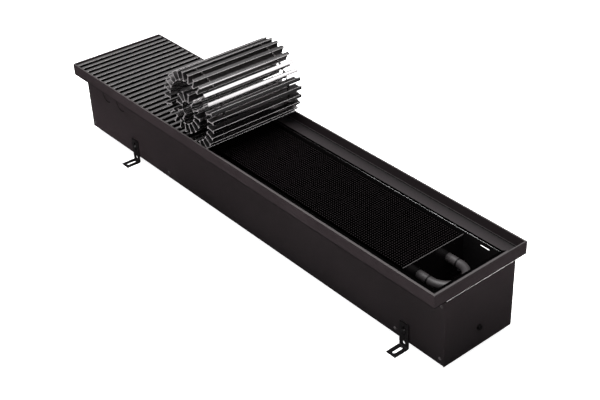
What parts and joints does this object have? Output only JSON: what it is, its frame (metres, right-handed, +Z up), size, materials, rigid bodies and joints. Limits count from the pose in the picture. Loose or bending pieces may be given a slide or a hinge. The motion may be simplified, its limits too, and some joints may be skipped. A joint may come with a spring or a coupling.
{
  "type": "trench convector heater",
  "caption": "Slim floor trench convector with a finned heat exchanger, slotted feet and a roll-up slatted grille, shown partly rolled up.",
  "frame": {"origin": "centre of the bounding box in plan, on the floor plane under the feet", "axes": "+X along the trough towards the return bend, +Z up, -Y towards the side with the pipe knock-outs"},
  "size_m": [1.007, 0.211, 0.2886],
  "materials": {
    "black_coat": "fine-textured satin black powder coat",
    "black_bracket": "satin black coat",
    "black_bolt": "black oxide",
    "zinc_steel": "zinc plated",
    "black_rubber": "matte",
    "black_fins": "black painted aluminium fins",
    "dark_plate": "satin dark coat",
    "dark_tube": "satin dark coat over copper tube",
    "dark_collar": "dark brazed ring",
    "brass": "turned brass",
    "slat_aluminium": "natural anodised aluminium",
    "spacer_steel": "dark spring steel sleeves",
    "wire_steel": "spring steel wire"
  },
  "bodies": {
    "casing": {"trough": "black_coat", "end_wall_right": "black_coat", "end_wall_left": "black_coat", "frame_rail_near": "black_coat", "frame_rail_far": "black_coat", "frame_rail_right": "black_coat", "frame_rail_left": "black_coat", "frame_corner_plates": "zinc_steel", "wall_plugs": "black_rubber", "knock_out_discs": "black_coat", "rivets": "black_coat", "foot_brackets": "black_bracket", "foot_bolts": "black_bolt", "foot_nuts": "zinc_steel", "fin_pack": "black_fins", "exchanger_end_plates": "dark_plate", "exchanger_supports": "black_coat", "exchanger_screws": "zinc_steel", "exchanger_tubes": "dark_tube", "return_bend": "dark_tube", "connection_elbows": "dark_tube", "connection_sockets": "brass", "tube_collars": "dark_collar", "air_vent_body": "brass"},
    "grille": {"flat_slats": "slat_aluminium", "flat_spacers": "spacer_steel", "flat_wires": "wire_steel"},
    "vent_screw": {"air_vent_screw": "brass"},
    "roll_slat_01": {"roll_slat_01": "slat_aluminium"},
    "roll_slat_02": {"roll_slat_02": "slat_aluminium"},
    "roll_slat_03": {"roll_slat_03": "slat_aluminium"},
    "roll_slat_04": {"roll_slat_04": "slat_aluminium"},
    "roll_slat_05": {"roll_slat_05": "slat_aluminium"},
    "roll_slat_06": {"roll_slat_06": "slat_aluminium"},
    "roll_slat_07": {"roll_slat_07": "slat_aluminium"},
    "roll_slat_08": {"roll_slat_08": "slat_aluminium"},
    "roll_slat_09": {"roll_slat_09": "slat_aluminium"},
    "roll_slat_10": {"roll_slat_10": "slat_aluminium"},
    "roll_slat_11": {"roll_slat_11": "slat_aluminium"},
    "roll_slat_12": {"roll_slat_12": "slat_aluminium"},
    "coil": {"coil_slats": "slat_aluminium", "coil_spacers": "spacer_steel", "coil_wires": "wire_steel"}
  },
  "joints": [
    {"name": "grille_lift", "type": "slide", "parent": "casing", "child": "grille", "axis": [0, 0, 1], "range_m": [0, 0.1]},
    {"name": "vent_screw_turn", "type": "hinge", "parent": "casing", "child": "vent_screw", "pos_m": [-0.31, 0.0322, 0.126], "axis": [0, 0, 1], "range_deg": [0, 360]},
    {"name": "roll_hinge_01", "type": "hinge", "parent": "grille", "child": "roll_slat_01", "pos_m": [-0.096, 0, 0.1473], "axis": [0, 1, 0], "range_deg": [0, 13.32]},
    {"name": "roll_hinge_02", "type": "hinge", "parent": "roll_slat_01", "child": "roll_slat_02", "pos_m": [-0.08043, 0, 0.15099], "axis": [0, 1, 0], "range_deg": [0, 13.32]},
    {"name": "roll_hinge_03", "type": "hinge", "parent": "roll_slat_02", "child": "roll_slat_03", "pos_m": [-0.06613, 0, 0.15816], "axis": [0, 1, 0], "range_deg": [0, 13.32]},
    {"name": "roll_hinge_04", "type": "hinge", "parent": "roll_slat_03", "child": "roll_slat_04", "pos_m": [-0.05386, 0, 0.16843], "axis": [0, 1, 0], "range_deg": [0, 13.32]},
    {"name": "roll_hinge_05", "type": "hinge", "parent": "roll_slat_04", "child": "roll_slat_05", "pos_m": [-0.04429, 0, 0.18125], "axis": [0, 1, 0], "range_deg": [0, 13.32]},
    {"name": "roll_hinge_06", "type": "hinge", "parent": "roll_slat_05", "child": "roll_slat_06", "pos_m": [-0.03793, 0, 0.19593], "axis": [0, 1, 0], "range_deg": [0, 13.32]},
    {"name": "roll_hinge_07", "type": "hinge", "parent": "roll_slat_06", "child": "roll_slat_07", "pos_m": [-0.03513, 0, 0.21169], "axis": [0, 1, 0], "range_deg": [0, 13.32]},
    {"name": "roll_hinge_08", "type": "hinge", "parent": "roll_slat_07", "child": "roll_slat_08", "pos_m": [-0.03602, 0, 0.22766], "axis": [0, 1, 0], "range_deg": [0, 13.32]},
    {"name": "roll_hinge_09", "type": "hinge", "parent": "roll_slat_08", "child": "roll_slat_09", "pos_m": [-0.04057, 0, 0.243], "axis": [0, 1, 0], "range_deg": [0, 13.32]},
    {"name": "roll_hinge_10", "type": "hinge", "parent": "roll_slat_09", "child": "roll_slat_10", "pos_m": [-0.04854, 0, 0.25688], "axis": [0, 1, 0], "range_deg": [0, 13.32]},
    {"name": "roll_hinge_11", "type": "hinge", "parent": "roll_slat_10", "child": "roll_slat_11", "pos_m": [-0.05948, 0, 0.26855], "axis": [0, 1, 0], "range_deg": [0, 13.32]},
    {"name": "roll_hinge_12", "type": "hinge", "parent": "roll_slat_11", "child": "roll_slat_12", "pos_m": [-0.07282, 0, 0.27739], "axis": [0, 1, 0], "range_deg": [0, 13.32]},
    {"name": "roll_hinge_13", "type": "hinge", "parent": "roll_slat_12", "child": "coil", "pos_m": [-0.08783, 0, 0.28291], "axis": [0, 1, 0], "range_deg": [0, 13.32]}
  ]
}
